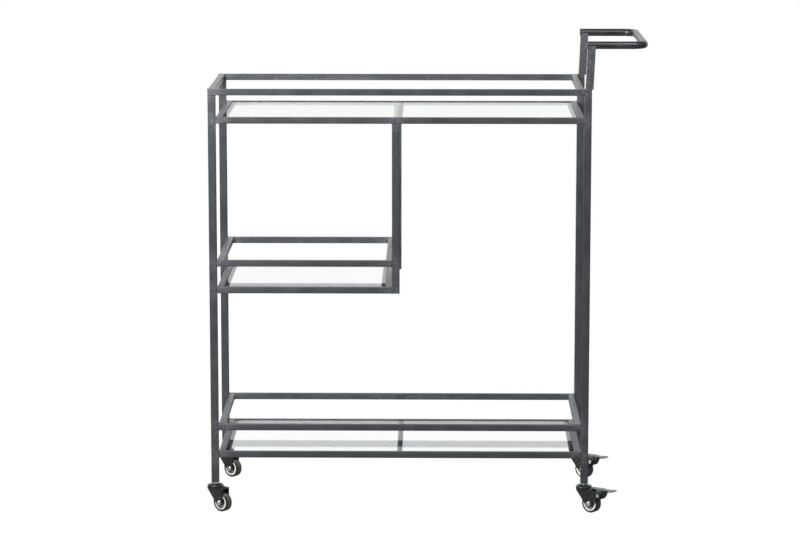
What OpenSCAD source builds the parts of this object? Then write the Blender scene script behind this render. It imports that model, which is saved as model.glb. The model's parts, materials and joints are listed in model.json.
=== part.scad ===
// Bar cart on wheels: a welded square-tube frame with two full glass shelves,
// one half shelf hung on the left, a push handle on the right and four swivel
// casters, the two on the right with foot brakes.
// Sizes are in millimetres, +Z is up, +X points to the handle end and the front
// faces -Y. The origin is on the floor, under the middle of the overall box.

/* [Frame] */
// Length of the frame over the posts
frame_l = 800; // [640:1:960]
// Depth of the frame over the posts
frame_d = 330; // [275:1:400]
// Height from the floor to the top of the upper guard
frame_h = 900; // [750:1:1080]
// Side of the square post tube
post_w = 16; // [14:0.5:20]
// Side of the square rail tube
rail_w = 13; // [12:0.5:15]
// Wall of the square tubes
tube_wall = 1.2; // [1:0.1:2]

/* [Shelves] */
// Height of the underside of the bottom shelf
bottom_z = 115; // [100:1:140]
// Height of the underside of the half shelf
half_z = 469; // [390:1:560]
// Rise from a full shelf's underside to its guard's underside
guard_rise = 59; // [46:1:72]
// The same rise at the half shelf
half_guard_rise = 57; // [46:1:72]
// Thickness of the glass
glass_t = 5; // [4:0.5:6]
// Depth of the glass below the top of its rails
glass_drop = 1.5; // [0.5:0.5:3]
// Gap round the edge of the glass
glass_gap = 1; // [0.5:0.1:2]
// Thickness of the flat ledges and of the bar under the glass
ledge_t = 2.5; // [2:0.5:3]
// Width of the flat ledges under the ends of the glass
ledge_w = 10; // [8:1:16]
// Width of the flat bar under the middle of a long pane
bar_w = 11; // [8:1:16]

/* [Handle] */
// Diameter of the round handle tube
handle_d = 16; // [14:0.5:20]
// Rise from the upper guard to the top of the handle
handle_rise = 100; // [80:1:130]
// Reach of the handle past the frame
handle_reach = 117; // [95:1:150]
// Bend radius of the handle corners, at the tube's centre
handle_bend = 28; // [18:1:40]
// Outward step of an upright's foot on its post
handle_step = 3; // [0:0.5:3]
// Outward lean of an upright from foot to top
handle_lean = 4; // [0:0.5:6]

/* [Casters] */
// Diameter of the wheels
wheel_d = 40; // [34:1:44]
// Width of the tyres
tyre_w = 17; // [15:0.5:17]
// Height from the floor to the foot of the posts
caster_h = 61; // [59:1:72]
// Trail of the axle behind the swivel axis
trail = 20; // [17:1:22]
// Swing of the casters from the cart's length
swing = 38; // [0:1:60]
// Length of the brake pedal from the swivel axis
pedal_reach = 79; // [70:1:86]

/* [Hidden] */

// Smoothness of round faces
$fn = 64;
// Small overshoot that makes cuts clean
cut = 1;

// Running clearance of a pin in its hole, on the radius
run = 0.05;
// Gap between faces that move past each other
gap = 0.3;

// Overhang of the handle's open ends past the uprights
handle_overhang = 2;

// Caster stem: hexagon under the post, pin through the cap and the fork
stem_r = 4;
stem_h = 22;
hex_r = 8;
hex_h = 3.5;
stem_head_r = 6.5;
stem_head_h = 2.5;
insert_h = 20;
insert_gap = 0.1;
// Race cap between the hexagon and the fork
cap_r = 17.4;
cap_top_r = 9.5;
cap_h = 6;
cap_rim_h = 2.6;
cap_hollow_r = 13.5;
cap_skin = 1.6;
// Fork of folded steel
crown_r = 17.6;
crown_t = 2.5;
leg_t = 2;
leg_y = 12;
leg_front_x = -12;
leg_front_drop = 5;
leg_end_r = 8;
arm_end_r = 6.5;
// Axle bolt with a domed head and a nut
axle_r = 3;
bolt_r = 5.6;
bolt_h = 3.4;
nut_r = 5.6;
nut_h = 3;
// Wheel hub: rim, web and boss
rim_t = 3.3;
rim_w = 15;
web_t = 5;
boss_r = 7;
tyre_t = 4;
tyre_fit = 0.1;
tyre_round = 3.2;
// Foot brake: pedal with two ears, shoe and pivot rivet
pivot_x = 44;
pivot_drop = 10;
rivet_r = 2.5;
rivet_head_r = 3.8;
rivet_head_h = 1.8;
pedal_t = 1.5;
pedal_lift = 1.5;
pedal_start = 21;
pedal_front_w = 14;
pedal_w = 23;
pedal_flare = 16;
pedal_corner = 5;
ear_t = 1.5;
ear_y = 9;
ear_r = 5;
ear_half = 7;
// Side view of the brake shoe, from its pivot: along the trail and up
shoe_outline = [
    [-6, 11.5], [14, 11.5], [16, 6], [12, 5], [11, 0], [6, -7.5],
    [-4, -9], [-6.5, -9], [-6, -4]
];

// Levels and faces that follow from the sizes above
post_x = frame_l / 2 - post_w / 2;
post_y = frame_d / 2 - post_w / 2;
bay_x = frame_l / 2 - post_w;
top_guard_z = frame_h - rail_w;
top_z = top_guard_z - guard_rise;
ledge_rise = rail_w - glass_drop - glass_t - ledge_t;
hanger_x = -post_w;
handle_r = handle_d / 2;
handle_z = frame_h + handle_rise - handle_r;
handle_x = frame_l / 2 + handle_reach - handle_r;
axle_z = wheel_d / 2;
rim_r = axle_z - tyre_t - tyre_fit;
rim_in_r = rim_r - rim_t;
cap_z = caster_h - hex_h - cap_h;
crown_z = cap_z - gap - crown_t;
crown_top = crown_z + crown_t;
pivot_z = crown_top - pivot_drop;
pedal_z = crown_top + pedal_lift;
shoe_y = ear_y - ear_t - insert_gap;
// Middle of the overall box, seen from above
left_reach = post_x + crown_r;
right_reach = frame_l / 2 + handle_reach;
back_reach = post_y + crown_r;
front_reach = post_y + pedal_reach * sin(swing) + (pedal_w / 2 - pedal_corner) * cos(swing);
mid_x = (right_reach - left_reach) / 2;
mid_y = (back_reach - front_reach) / 2;

// Point where a line from p touches a circle on its right-hand side
function touch(p, c, r) =
    let (d = norm(c - p), a = atan2(c[1] - p[1], c[0] - p[0]) - asin(r / d) - 90)
    [c[0] + r * cos(a), c[1] + r * sin(a)];

module in_place() {
    translate([-mid_x, -mid_y, 0]) children();
}

// Square tube along X, open at both ends unless an end is shut
module tube_x(x0, x1, y, z, w, shut = 0) {
    translate([x0, y, z]) difference() {
        cube([x1 - x0, w, w]);
        translate([shut > 0 ? shut : -cut, tube_wall, tube_wall])
            cube([x1 - x0 + 2 * cut, w - 2 * tube_wall, w - 2 * tube_wall]);
    }
}

// Square tube along Y
module tube_y(x, y0, y1, z, w) {
    translate([x, y0, z]) difference() {
        cube([w, y1 - y0, w]);
        translate([tube_wall, -cut, tube_wall])
            cube([w - 2 * tube_wall, y1 - y0 + 2 * cut, w - 2 * tube_wall]);
    }
}

// Square tube along Z
module tube_z(x, y, z0, z1, w) {
    translate([x, y, z0]) difference() {
        cube([w, w, z1 - z0]);
        translate([tube_wall, tube_wall, -cut])
            cube([w - 2 * tube_wall, w - 2 * tube_wall, z1 - z0 + 2 * cut]);
    }
}

// Posts: the left pair stop under the upper guard, the right pair pass it
module post(side, row) {
    top = side < 0 ? top_guard_z : frame_h;
    color([0.31, 0.32, 0.34]) in_place()
        tube_z(side * post_x - post_w / 2, row * post_y - post_w / 2, caster_h, top, post_w);
}

// Long rail of a ring, on the front (row -1) or the back (row 1)
module long_rail(x0, x1, row, z, shut = 0) {
    y = row < 0 ? -frame_d / 2 : frame_d / 2 - rail_w;
    color([0.33, 0.34, 0.36]) in_place() tube_x(x0, x1, y, z, rail_w, shut);
}

// The two short rails that close a ring between its long rails
module side_rails(x0, x1, z) {
    color([0.35, 0.36, 0.38]) in_place() {
        tube_y(x0, -frame_d / 2 + rail_w, frame_d / 2 - rail_w, z, rail_w);
        tube_y(x1 - rail_w, -frame_d / 2 + rail_w, frame_d / 2 - rail_w, z, rail_w);
    }
}

// Flat ledges along the inside of the two short rails
module ledges(x0, x1, z) {
    depth = frame_d - 2 * rail_w;
    color([0.30, 0.31, 0.33]) in_place() {
        for (x = [x0 + rail_w, x1 - rail_w - ledge_w])
            translate([x, -depth / 2, z + ledge_rise]) cube([ledge_w, depth, ledge_t]);
    }
}

// Flat bar across the middle of a long pane
module middle_bar(z) {
    depth = frame_d - 2 * rail_w;
    color([0.30, 0.31, 0.33]) in_place()
        translate([-bar_w / 2, -depth / 2, z + ledge_rise]) cube([bar_w, depth, ledge_t]);
}

// Glass pane lying on the ledges of a ring
module pane(x0, x1, z) {
    depth = frame_d - 2 * rail_w - 2 * glass_gap;
    color([0.80, 0.90, 0.87, 0.4]) in_place()
        translate([x0 + rail_w + glass_gap, -depth / 2, z + ledge_rise + ledge_t])
            cube([x1 - x0 - 2 * rail_w - 2 * glass_gap, depth, glass_t]);
}

// Hangers that carry the inner end of the half shelf
module hanger(row) {
    y = row < 0 ? -frame_d / 2 : frame_d / 2 - post_w;
    color([0.31, 0.32, 0.34]) in_place() tube_z(hanger_x, y, half_z, top_z, post_w);
}

// Leaning square upright, coped at the top to take the round handle tube
module handle_upright(row) {
    rise = handle_z - frame_h;
    foot = frame_l / 2 - post_w + handle_step;
    color([0.30, 0.31, 0.33]) in_place() difference() {
        translate([foot, row * post_y, frame_h]) difference() {
            upright_bar(0, post_w, rise, 0);
            upright_bar(tube_wall, post_w - 2 * tube_wall, rise, cut);
        }
        translate([0, row * post_y, handle_z]) rotate([0, 90, 0])
            cylinder(r = handle_r + run, h = frame_l);
    }
}

// Sheared bar of square section: inset from the foot's corner, side, rise, overshoot
module upright_bar(inset, side, rise, over) {
    slope = handle_lean / rise;
    translate([inset, side / 2, 0]) rotate([90, 0, 0]) linear_extrude(side)
        polygon([
            [-over * slope, -over],
            [side - over * slope, -over],
            [side + (rise + over) * slope, rise + over],
            [(rise + over) * slope, rise + over]
        ]);
}

// Round bar bent to a U, lying level; r is its radius and start its open ends
module handle_path(r, start) {
    turn_x = handle_x - handle_bend;
    turn_y = post_y - handle_bend;
    for (row = [-1, 1])
        translate([start, row * post_y, 0]) rotate([0, 90, 0])
            cylinder(r = r, h = turn_x - start);
    for (row = [-1, 1])
        translate([turn_x, row * turn_y, 0]) rotate([0, 0, row < 0 ? -90 : 0])
            rotate_extrude(angle = 90) translate([handle_bend, 0]) circle(r = r);
    translate([handle_x, turn_y, 0]) rotate([90, 0, 0]) cylinder(r = r, h = 2 * turn_y);
}

module handle_bar() {
    start = frame_l / 2 - post_w + handle_step + handle_lean - handle_overhang;
    color([0.16, 0.16, 0.17]) in_place() translate([0, 0, handle_z]) difference() {
        handle_path(handle_r, start);
        handle_path(handle_r - tube_wall, start + tube_wall);
    }
}

// Places a caster's parts: side -1 left or 1 right, row -1 front or 1 back
module caster(side, row) {
    in_place() translate([side * post_x, row * post_y, 0]) rotate([0, 0, -swing]) children();
}

module at_posts() {
    for (side = [-1, 1], row = [-1, 1])
        in_place() translate([side * post_x, row * post_y, 0]) children();
}

// Square plugs in the feet of the posts, drilled for the stems
module post_inserts() {
    side = post_w - 2 * tube_wall - 2 * insert_gap;
    color([0.12, 0.12, 0.13]) at_posts() difference() {
        translate([-side / 2, -side / 2, caster_h]) cube([side, side, insert_h]);
        translate([0, 0, caster_h - cut]) cylinder(r = stem_r + run, h = insert_h + 2 * cut);
    }
}

// Stem with its hexagon, and the riveted head that holds the fork up
module caster_stems() {
    head_top = crown_z - gap;
    color([0.78, 0.79, 0.80]) at_posts() union() {
        translate([0, 0, head_top - cut]) cylinder(r = stem_r, h = caster_h + stem_h - head_top);
        translate([0, 0, caster_h - hex_h]) cylinder(r = hex_r, h = hex_h, $fn = 6);
        translate([0, 0, head_top - stem_head_h]) cylinder(r = stem_head_r, h = stem_head_h);
    }
}

// Dished cap that covers the swivel race
module caster_caps() {
    color([0.10, 0.10, 0.11]) at_posts() translate([0, 0, cap_z]) rotate_extrude()
        polygon([
            [stem_r + run, cap_h],
            [cap_top_r, cap_h],
            [cap_r - cap_skin, cap_rim_h + cap_skin],
            [cap_r, cap_rim_h],
            [cap_r, 0],
            [cap_hollow_r, 0],
            [cap_hollow_r - cap_skin, cap_rim_h],
            [stem_r + run, cap_rim_h]
        ]);
}

// Side view of a fork leg
module leg_outline(brake) {
    front = [leg_front_x, crown_top - leg_front_drop];
    axle = [trail, axle_z];
    low = touch(front, axle, leg_end_r);
    rear = trail + leg_end_r;
    polygon([[leg_front_x, crown_top], front, low, axle, [rear, axle_z], [rear, crown_top]]);
    translate(axle) circle(r = leg_end_r);
    if (brake) {
        polygon([
            [trail, crown_top],
            [pivot_x, pivot_z + arm_end_r],
            [pivot_x, pivot_z - arm_end_r],
            [rear, axle_z]
        ]);
        translate([pivot_x, pivot_z]) circle(r = arm_end_r);
    }
}

// Fork: round crown folded down into two legs
module fork(side, row) {
    brake = side > 0;
    color([0.11, 0.11, 0.12]) caster(side, row) difference() {
        union() {
            translate([0, 0, crown_z]) linear_extrude(crown_t) {
                circle(r = crown_r);
                translate([0, -leg_y]) square([trail + leg_end_r, 2 * leg_y]);
            }
            for (y = [-leg_y, leg_y - leg_t])
                translate([0, y + leg_t, 0]) rotate([90, 0, 0]) linear_extrude(leg_t)
                    leg_outline(brake);
        }
        translate([0, 0, crown_z - cut]) cylinder(r = stem_r + run, h = crown_t + 2 * cut);
        translate([trail, leg_y + cut, axle_z]) rotate([90, 0, 0])
            cylinder(r = axle_r + run, h = 2 * leg_y + 2 * cut);
        if (brake)
            translate([pivot_x, leg_y + cut, pivot_z]) rotate([90, 0, 0])
                cylinder(r = rivet_r + run, h = 2 * leg_y + 2 * cut);
    }
}

// Axle bolt: domed head on the near side, nut on the far side
module axle(side, row) {
    dome_r = (bolt_r * bolt_r + bolt_h * bolt_h) / (2 * bolt_h);
    color([0.80, 0.81, 0.82]) caster(side, row) translate([trail, 0, axle_z]) union() {
        translate([0, leg_y + nut_h, 0]) rotate([90, 0, 0])
            cylinder(r = axle_r, h = 2 * leg_y + nut_h + cut);
        translate([0, leg_y + nut_h, 0]) rotate([90, 0, 0])
            cylinder(r = nut_r, h = nut_h, $fn = 6);
        intersection() {
            translate([0, -leg_y, 0]) rotate([90, 0, 0]) cylinder(r = bolt_r + cut, h = bolt_h);
            translate([0, dome_r - leg_y - bolt_h, 0]) rotate([90, 0, 0]) sphere(r = dome_r);
        }
    }
}

// Wheel hub with a recessed web and a through bore
module hub(side, row) {
    boss_w = 2 * (leg_y - leg_t - gap);
    color([0.93, 0.92, 0.88]) caster(side, row) translate([trail, 0, axle_z])
        rotate([90, 0, 0]) rotate_extrude() polygon([
            [axle_r + run, -boss_w / 2],
            [boss_r, -boss_w / 2],
            [boss_r, -web_t / 2],
            [rim_in_r, -web_t / 2],
            [rim_in_r, -rim_w / 2],
            [rim_r, -rim_w / 2],
            [rim_r, rim_w / 2],
            [rim_in_r, rim_w / 2],
            [rim_in_r, web_t / 2],
            [boss_r, web_t / 2],
            [boss_r, boss_w / 2],
            [axle_r + run, boss_w / 2]
        ]);
}

// Tyre with round shoulders
module tyre(side, row) {
    in_r = axle_z - tyre_t;
    flat = tyre_w / 2 - tyre_round;
    color([0.09, 0.09, 0.09]) caster(side, row) translate([trail, 0, axle_z])
        rotate([90, 0, 0]) rotate_extrude() {
            translate([in_r, -flat]) square([tyre_t, 2 * flat]);
            translate([in_r, -tyre_w / 2]) square([tyre_t - tyre_round, tyre_w]);
            intersection() {
                translate([in_r, -tyre_w / 2]) square([tyre_t, tyre_w]);
                for (y = [-flat, flat])
                    translate([axle_z - tyre_round, y]) circle(r = tyre_round);
            }
        }
}

// Plan view of the pedal
module pedal_plan() {
    end = pedal_reach - pedal_corner;
    half = pedal_w / 2 - pedal_corner;
    flare = pedal_reach - pedal_flare;
    polygon([
        [pedal_start, -pedal_front_w / 2], [flare, -pedal_front_w / 2],
        [end, -pedal_w / 2], [end, pedal_w / 2],
        [flare, pedal_front_w / 2], [pedal_start, pedal_front_w / 2]
    ]);
    translate([end - cut, -half]) square([pedal_corner + cut, 2 * half]);
    for (y = [-half, half])
        translate([end, y]) circle(r = pedal_corner);
}

// Brake pedal of folded steel, with an ear each side of the shoe
module brake_pedal(row) {
    color([0.45, 0.46, 0.48]) caster(1, row) difference() {
        union() {
            translate([0, 0, pedal_z]) linear_extrude(pedal_t) {
                pedal_plan();
                translate([pivot_x - ear_half, -ear_y]) square([2 * ear_half, 2 * ear_y]);
            }
            for (y = [-ear_y, ear_y - ear_t])
                translate([pivot_x, y + ear_t, pivot_z]) rotate([90, 0, 0])
                    linear_extrude(ear_t) ear_outline();
        }
        translate([pivot_x, ear_y + cut, pivot_z]) rotate([90, 0, 0])
            cylinder(r = rivet_r + run, h = 2 * ear_y + 2 * cut);
    }
}

// Side view of a pedal ear, from its pivot
module ear_outline() {
    rise = pedal_z + pedal_t - pivot_z;
    circle(r = ear_r);
    polygon([[-ear_r, 0], [ear_r, 0], [ear_half, rise], [-ear_half, rise]]);
}

// Brake shoe between the ears
module brake_shoe(row) {
    color([0.07, 0.07, 0.07]) caster(1, row) translate([pivot_x, shoe_y, pivot_z])
        rotate([90, 0, 0]) linear_extrude(2 * shoe_y) difference() {
            polygon(shoe_outline);
            circle(r = rivet_r + run);
        }
}

// Rivet that carries the pedal and the shoe between the fork's arms
module brake_rivet(row) {
    span = 2 * leg_y + 2 * rivet_head_h;
    color([0.80, 0.81, 0.82]) caster(1, row) translate([pivot_x, span / 2, pivot_z])
        rotate([90, 0, 0]) union() {
            cylinder(r = rivet_r, h = span);
            cylinder(r = rivet_head_r, h = rivet_head_h);
            translate([0, 0, span - rivet_head_h]) cylinder(r = rivet_head_r, h = rivet_head_h);
        }
}

post(-1, -1);  // post_front_left
post(1, -1);  // post_front_right
post(-1, 1);  // post_back_left
post(1, 1);  // post_back_right
long_rail(-frame_l / 2, bay_x, -1, top_guard_z, tube_wall);  // top_guard_front
long_rail(-frame_l / 2, bay_x, 1, top_guard_z, tube_wall);  // top_guard_back
side_rails(-frame_l / 2, bay_x, top_guard_z);  // top_guard_sides
long_rail(-bay_x, bay_x, -1, top_z);  // top_shelf_front
long_rail(-bay_x, bay_x, 1, top_z);  // top_shelf_back
side_rails(-bay_x, bay_x, top_z);  // top_shelf_sides
ledges(-bay_x, bay_x, top_z);  // top_shelf_ledges
middle_bar(top_z);  // top_shelf_bar
long_rail(-bay_x, hanger_x, -1, half_z + half_guard_rise);  // half_guard_front
long_rail(-bay_x, hanger_x, 1, half_z + half_guard_rise);  // half_guard_back
side_rails(-bay_x, hanger_x, half_z + half_guard_rise);  // half_guard_sides
long_rail(-bay_x, hanger_x, -1, half_z);  // half_shelf_front
long_rail(-bay_x, hanger_x, 1, half_z);  // half_shelf_back
side_rails(-bay_x, hanger_x, half_z);  // half_shelf_sides
ledges(-bay_x, hanger_x, half_z);  // half_shelf_ledges
hanger(-1);  // hanger_front
hanger(1);  // hanger_back
long_rail(-bay_x, bay_x, -1, bottom_z + guard_rise);  // bottom_guard_front
long_rail(-bay_x, bay_x, 1, bottom_z + guard_rise);  // bottom_guard_back
side_rails(-bay_x, bay_x, bottom_z + guard_rise);  // bottom_guard_sides
long_rail(-bay_x, bay_x, -1, bottom_z);  // bottom_shelf_front
long_rail(-bay_x, bay_x, 1, bottom_z);  // bottom_shelf_back
side_rails(-bay_x, bay_x, bottom_z);  // bottom_shelf_sides
ledges(-bay_x, bay_x, bottom_z);  // bottom_shelf_ledges
middle_bar(bottom_z);  // bottom_shelf_bar
pane(-bay_x, bay_x, top_z);  // top_glass
pane(-bay_x, hanger_x, half_z);  // half_glass
pane(-bay_x, bay_x, bottom_z);  // bottom_glass
handle_upright(-1);  // handle_upright_front
handle_upright(1);  // handle_upright_back
handle_bar();
post_inserts();
caster_stems();
caster_caps();
fork(-1, -1);  // fork_front_left
fork(-1, 1);  // fork_back_left
fork(1, -1);  // fork_front_right
fork(1, 1);  // fork_back_right
axle(-1, -1);  // axle_front_left
axle(-1, 1);  // axle_back_left
axle(1, -1);  // axle_front_right
axle(1, 1);  // axle_back_right
hub(-1, -1);  // hub_front_left
hub(-1, 1);  // hub_back_left
hub(1, -1);  // hub_front_right
hub(1, 1);  // hub_back_right
tyre(-1, -1);  // tyre_front_left
tyre(-1, 1);  // tyre_back_left
tyre(1, -1);  // tyre_front_right
tyre(1, 1);  // tyre_back_right
brake_pedal(-1);  // brake_pedal_front
brake_pedal(1);  // brake_pedal_back
brake_shoe(-1);  // brake_shoe_front
brake_shoe(1);  // brake_shoe_back
brake_rivet(-1);  // brake_rivet_front
brake_rivet(1);  // brake_rivet_back
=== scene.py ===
# %% [markdown]
# # A bar cart on wheels
# The object is a welded frame of square steel tube with three panes of clear
# glass, a round push handle and four swivel casters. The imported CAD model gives
# every size. This script keeps those sizes and adds what a solid model leaves
# out: rounded tube corners, weld beads, turned edges and the finishes.

# %% Load the frame that every piece is placed in
import json
import math

import bmesh
import bpy
import numpy as np
from mathutils import Matrix, Vector

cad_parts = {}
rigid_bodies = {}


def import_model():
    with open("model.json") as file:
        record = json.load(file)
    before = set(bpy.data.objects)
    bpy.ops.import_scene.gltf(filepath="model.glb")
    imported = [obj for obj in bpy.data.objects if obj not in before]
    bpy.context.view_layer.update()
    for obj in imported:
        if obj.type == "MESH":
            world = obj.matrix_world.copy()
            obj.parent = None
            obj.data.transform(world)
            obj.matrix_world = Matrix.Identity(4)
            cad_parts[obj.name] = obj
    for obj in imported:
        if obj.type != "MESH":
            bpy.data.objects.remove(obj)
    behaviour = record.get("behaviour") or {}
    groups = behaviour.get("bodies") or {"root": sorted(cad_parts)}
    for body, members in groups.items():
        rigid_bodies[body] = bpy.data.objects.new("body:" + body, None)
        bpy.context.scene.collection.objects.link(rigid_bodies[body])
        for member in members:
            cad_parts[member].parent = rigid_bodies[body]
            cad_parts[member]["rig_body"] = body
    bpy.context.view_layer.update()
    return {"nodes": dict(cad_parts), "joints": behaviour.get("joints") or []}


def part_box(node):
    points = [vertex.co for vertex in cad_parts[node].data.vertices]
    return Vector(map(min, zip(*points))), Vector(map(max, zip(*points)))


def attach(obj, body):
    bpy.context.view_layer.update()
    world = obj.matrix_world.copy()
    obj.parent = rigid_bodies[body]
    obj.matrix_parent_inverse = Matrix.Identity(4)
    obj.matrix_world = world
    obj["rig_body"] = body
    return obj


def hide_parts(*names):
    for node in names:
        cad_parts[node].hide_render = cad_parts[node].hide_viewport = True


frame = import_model()
MM = 0.001

# %% [markdown]
# ## Camera
# A long lens from about six metres keeps the posts almost parallel, as a
# catalogue picture does. The camera looks slightly down, so the tops of the
# rails and the glass both show.

# %% Camera
CAMERA_PLACE = Vector((0.0277, -6.2151, 1.5354))
CAMERA_AIM = Vector((-0.0538, -0.0667, 0.5139))
LENS_MM = 131.9

camera_data = bpy.data.cameras.new("camera")
camera_data.lens = LENS_MM
camera_data.sensor_width = 36.0
camera_data.clip_end = 200.0
camera = bpy.data.objects.new("camera", camera_data)
camera.location = CAMERA_PLACE
camera.rotation_euler = (CAMERA_AIM - CAMERA_PLACE).to_track_quat("-Z", "Y").to_euler()
bpy.context.scene.collection.objects.link(camera)
bpy.context.scene.camera = camera
bpy.context.scene.view_settings.view_transform = "Standard"
print("camera looks from", tuple(round(v, 2) for v in CAMERA_PLACE))

# %% [markdown]
# ## Building shader trees with little typing
# A material is a small graph of nodes. Two helpers add a node with its values
# and join sockets, so that each finish below reads as a short list.


# %% Helpers for node trees
def add_node(tree, kind, values=None, **settings):
    node = tree.nodes.new(kind)
    for name, value in settings.items():
        setattr(node, name, value)
    for name, value in (values or {}).items():
        node.inputs[name].default_value = value
    return node


def join(tree, source, target):
    tree.links.new(source, target)


def new_material(name):
    material = bpy.data.materials.new(name)
    material.use_nodes = True
    material.node_tree.nodes.clear()
    return material, material.node_tree


def principled(tree, **values):
    shader = add_node(tree, "ShaderNodeBsdfPrincipled")
    for name, value in values.items():
        shader.inputs[name.replace("_", " ")].default_value = value
    out = add_node(tree, "ShaderNodeOutputMaterial")
    join(tree, shader.outputs["BSDF"], out.inputs["Surface"])
    return shader, out


def colour(red, green, blue):
    return (red, green, blue, 1.0)


# %% [markdown]
# ## Studio
# The cart stands on a white sweep, which shows white to the camera and through
# glass. A white wall behind the cart is there for reflections alone. The floor
# keeps a share of a real lit surface, so the wheels have a soft shadow. In
# front of the cart the room is dim, which keeps the lacquer dark towards us.

# %% Floor, wall and world
FLOOR_SHADE = 0.10
FLOOR_IN_GLOSS = 0.05
WALL_IN_GLOSS = 0.93
ROOM_LIGHT = 0.26
ROOM_IN_GLOSS = 0.16


def ray_kinds(tree):
    """Sockets that are 1 for rays seen directly or through glass, and in gloss."""
    path = add_node(tree, "ShaderNodeLightPath")
    seen = add_node(tree, "ShaderNodeMath", operation="MAXIMUM")
    join(tree, path.outputs["Is Camera Ray"], seen.inputs[0])
    join(tree, path.outputs["Is Transmission Ray"], seen.inputs[1])
    return seen.outputs[0], path.outputs["Is Glossy Ray"]


def stage_sheet(name, corners, material):
    mesh = bpy.data.meshes.new(name)
    mesh.from_pydata(corners, [], [(0, 1, 2, 3)])
    sheet = bpy.data.objects.new(name, mesh)
    sheet.data.materials.append(material)
    bpy.context.scene.collection.objects.link(sheet)
    return sheet


def make_floor():
    material, tree = new_material("studio_floor")
    lit = add_node(tree, "ShaderNodeBsdfDiffuse", {"Color": colour(0.3, 0.3, 0.3)})
    white = add_node(tree, "ShaderNodeEmission", {"Color": colour(1, 1, 1), "Strength": 1.1})
    seen, gloss = ray_kinds(tree)
    direct = add_node(tree, "ShaderNodeMath", {1: 1.0 - FLOOR_SHADE}, operation="MULTIPLY")
    join(tree, seen, direct.inputs[0])
    share = add_node(tree, "ShaderNodeMath", {1: FLOOR_IN_GLOSS}, operation="MULTIPLY_ADD")
    join(tree, gloss, share.inputs[0])
    join(tree, direct.outputs[0], share.inputs[2])
    mix = add_node(tree, "ShaderNodeMixShader")
    join(tree, share.outputs[0], mix.inputs[0])
    join(tree, lit.outputs[0], mix.inputs[1])
    join(tree, white.outputs[0], mix.inputs[2])
    out = add_node(tree, "ShaderNodeOutputMaterial")
    join(tree, mix.outputs[0], out.inputs["Surface"])
    half = 60.0
    stage_sheet("studio_floor", [(-half, -half, 0), (half, -half, 0), (half, half, 0),
                                 (-half, half, 0)], material)


def make_wall():
    """A white wall that only gloss sees, so no view of the cart is blocked."""
    material, tree = new_material("studio_wall")
    white = add_node(tree, "ShaderNodeEmission",
                     {"Color": colour(1, 1, 1), "Strength": WALL_IN_GLOSS})
    out = add_node(tree, "ShaderNodeOutputMaterial")
    join(tree, white.outputs[0], out.inputs["Surface"])
    wall = stage_sheet("studio_wall", [(-7, 5, 0.001), (7, 5, 0.001), (7, 5, 5), (-7, 5, 5)],
                       material)
    wall.visible_camera = False
    wall.visible_diffuse = False
    wall.visible_transmission = False
    wall.visible_shadow = False


def make_world():
    world = bpy.data.worlds.new("studio")
    bpy.context.scene.world = world
    world.use_nodes = True
    tree = world.node_tree
    tree.nodes.clear()
    seen, gloss = ray_kinds(tree)
    dim = add_node(tree, "ShaderNodeMapRange", {"To Min": ROOM_LIGHT, "To Max": ROOM_IN_GLOSS})
    join(tree, gloss, dim.inputs["Value"])
    room = add_node(tree, "ShaderNodeBackground", {"Color": colour(1, 1, 1)})
    join(tree, dim.outputs["Result"], room.inputs["Strength"])
    white = add_node(tree, "ShaderNodeBackground", {"Color": colour(1, 1, 1), "Strength": 1.0})
    mix = add_node(tree, "ShaderNodeMixShader")
    join(tree, seen, mix.inputs[0])
    join(tree, room.outputs[0], mix.inputs[1])
    join(tree, white.outputs[0], mix.inputs[2])
    out = add_node(tree, "ShaderNodeOutputWorld")
    join(tree, mix.outputs[0], out.inputs["Surface"])


make_floor()
make_wall()
make_world()
print("floor, wall and world made")

# %% [markdown]
# ## Lamps
# A soft box close to the upper left corner lights that corner most, and its
# light falls off towards the wheels and the handle end. A weaker one fills from
# the right, and a top one lights the handle and the upper faces.

# %% Lamps
LAMPS = {
    "key_left": {"at": (-1.05, -1.05, 1.65), "size": 0.8, "watts": 54.0},
    "fill_right": {"at": (2.8, -2.4, 2.4), "size": 2.0, "watts": 7.0},
    "top": {"at": (0.75, -0.9, 1.9), "size": 0.7, "watts": 11.0},
}
LAMP_AIM = Vector((0.0, 0.0, 0.8))

for lamp_name, lamp in LAMPS.items():
    data = bpy.data.lights.new(lamp_name, "AREA")
    data.size = lamp["size"]
    data.energy = lamp["watts"]
    light = bpy.data.objects.new(lamp_name, data)
    light.location = lamp["at"]
    light.rotation_euler = (LAMP_AIM - Vector(lamp["at"])).to_track_quat("-Z", "Y").to_euler()
    light.visible_camera = False
    bpy.context.scene.collection.objects.link(light)
print("lamps:", ", ".join(LAMPS))

# %% [markdown]
# ## A shared effect: mottle
# Lacquer, rubber and zinc are never one even tone. This group turns a position
# into two tones mixed by soft noise, with fine grain on top, and gives the
# grain as a height too. Every finish uses it with its own sizes and tones.


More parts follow.
